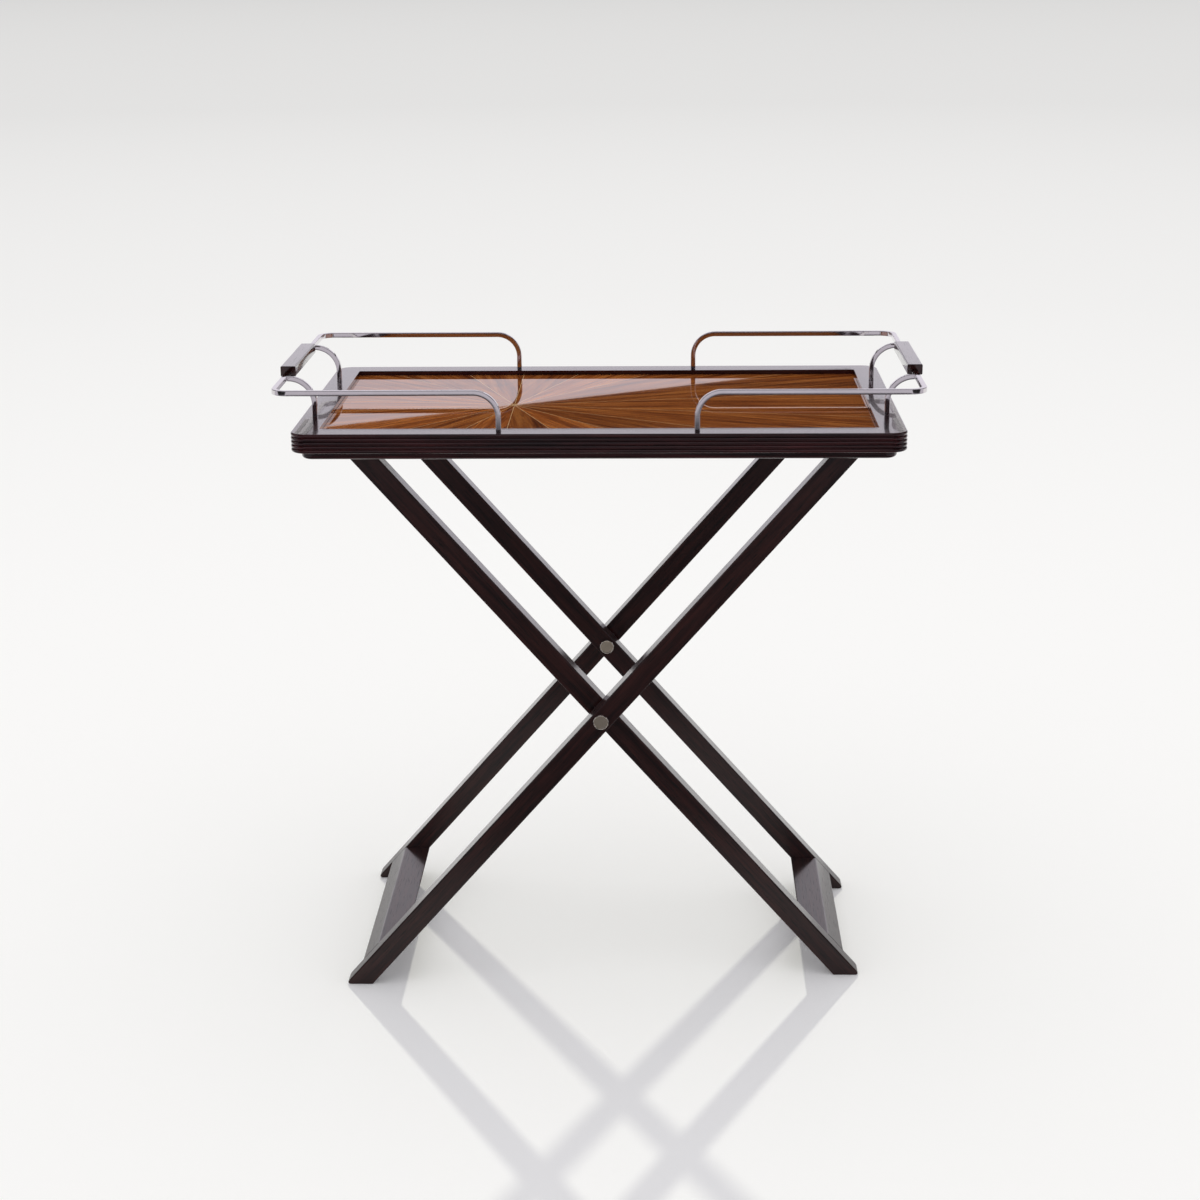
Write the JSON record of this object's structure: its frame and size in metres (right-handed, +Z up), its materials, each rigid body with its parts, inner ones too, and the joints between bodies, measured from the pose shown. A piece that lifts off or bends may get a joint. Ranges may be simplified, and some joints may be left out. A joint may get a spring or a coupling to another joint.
{
  "type": "folding serving table",
  "caption": "Folding serving table: reeded tray with sunburst veneer, bent metal rails with wood grips, and an X stand that pivots on two bolts.",
  "frame": {"origin": "on the floor under the middle of the tray", "axes": "+Z up, +X along the tray towards its right handle, +Y away from the front; the outer frame's legs rise towards +X"},
  "size_m": [0.755, 0.413, 0.754],
  "materials": {
    "ebonised_wood": "dark open-grain wood, satin",
    "lacquered_rim": "near-black red-brown wood under high-gloss lacquer",
    "board_wood": "plain board",
    "walnut_veneer": "sunburst walnut veneer under high-gloss lacquer",
    "polished_metal": "polished",
    "aged_metal": "brushed, darkened",
    "steel": "plain steel"
  },
  "bodies": {
    "outer_frame": {"outer_leg_front": "ebonised_wood", "outer_leg_back": "ebonised_wood", "outer_bottom_stretcher": "ebonised_wood", "outer_top_rail": "ebonised_wood", "pivot_bolt_front": "steel", "pivot_bolt_back": "steel", "pivot_spacer_front": "steel", "pivot_spacer_back": "steel", "pivot_cap_front_outer": "aged_metal", "pivot_cap_front_inner": "aged_metal", "pivot_cap_back_outer": "aged_metal", "pivot_cap_back_inner": "aged_metal"},
    "inner_frame": {"inner_leg_front": "ebonised_wood", "inner_leg_back": "ebonised_wood", "inner_bottom_stretcher": "ebonised_wood", "inner_top_rail": "ebonised_wood"},
    "tray": {"rim_front": "lacquered_rim", "rim_back": "lacquered_rim", "rim_left": "lacquered_rim", "rim_right": "lacquered_rim", "tray_base": "lacquered_rim", "panel_core": "board_wood", "sunburst_veneer": "walnut_veneer", "tray_cleat_left": "ebonised_wood", "tray_cleat_right": "ebonised_wood", "cleat_screw_left_front": "steel", "cleat_screw_left_back": "steel", "cleat_screw_right_front": "steel", "cleat_screw_right_back": "steel", "rail_left": "polished_metal", "rail_right": "polished_metal", "arch_left_front": "polished_metal", "arch_left_back": "polished_metal", "arch_right_front": "polished_metal", "arch_right_back": "polished_metal", "grip_left": "ebonised_wood", "grip_right": "ebonised_wood", "grip_screw_left_front": "steel", "grip_screw_left_back": "steel", "grip_screw_right_front": "steel", "grip_screw_right_back": "steel", "post_screw_rail_left_front": "steel", "post_screw_rail_left_back": "steel", "post_screw_rail_right_front": "steel", "post_screw_rail_right_back": "steel", "post_screw_arch_left_front": "steel", "post_screw_arch_left_back": "steel", "post_screw_arch_right_front": "steel", "post_screw_arch_right_back": "steel"}
  },
  "joints": [
    {"name": "fold", "type": "hinge", "parent": "outer_frame", "child": "inner_frame", "pos_m": [0, 0, 0.3443], "axis": [0, 1, 0], "range_deg": [0, 77]},
    {"name": "tray_lift", "type": "slide", "parent": "outer_frame", "child": "tray", "axis": [0, 0, 1], "range_m": [0, 0.46]}
  ],
  "couplings": [
    {"joint": "tray_lift", "follows": "fold", "m_per_rad": 0.33}
  ]
}
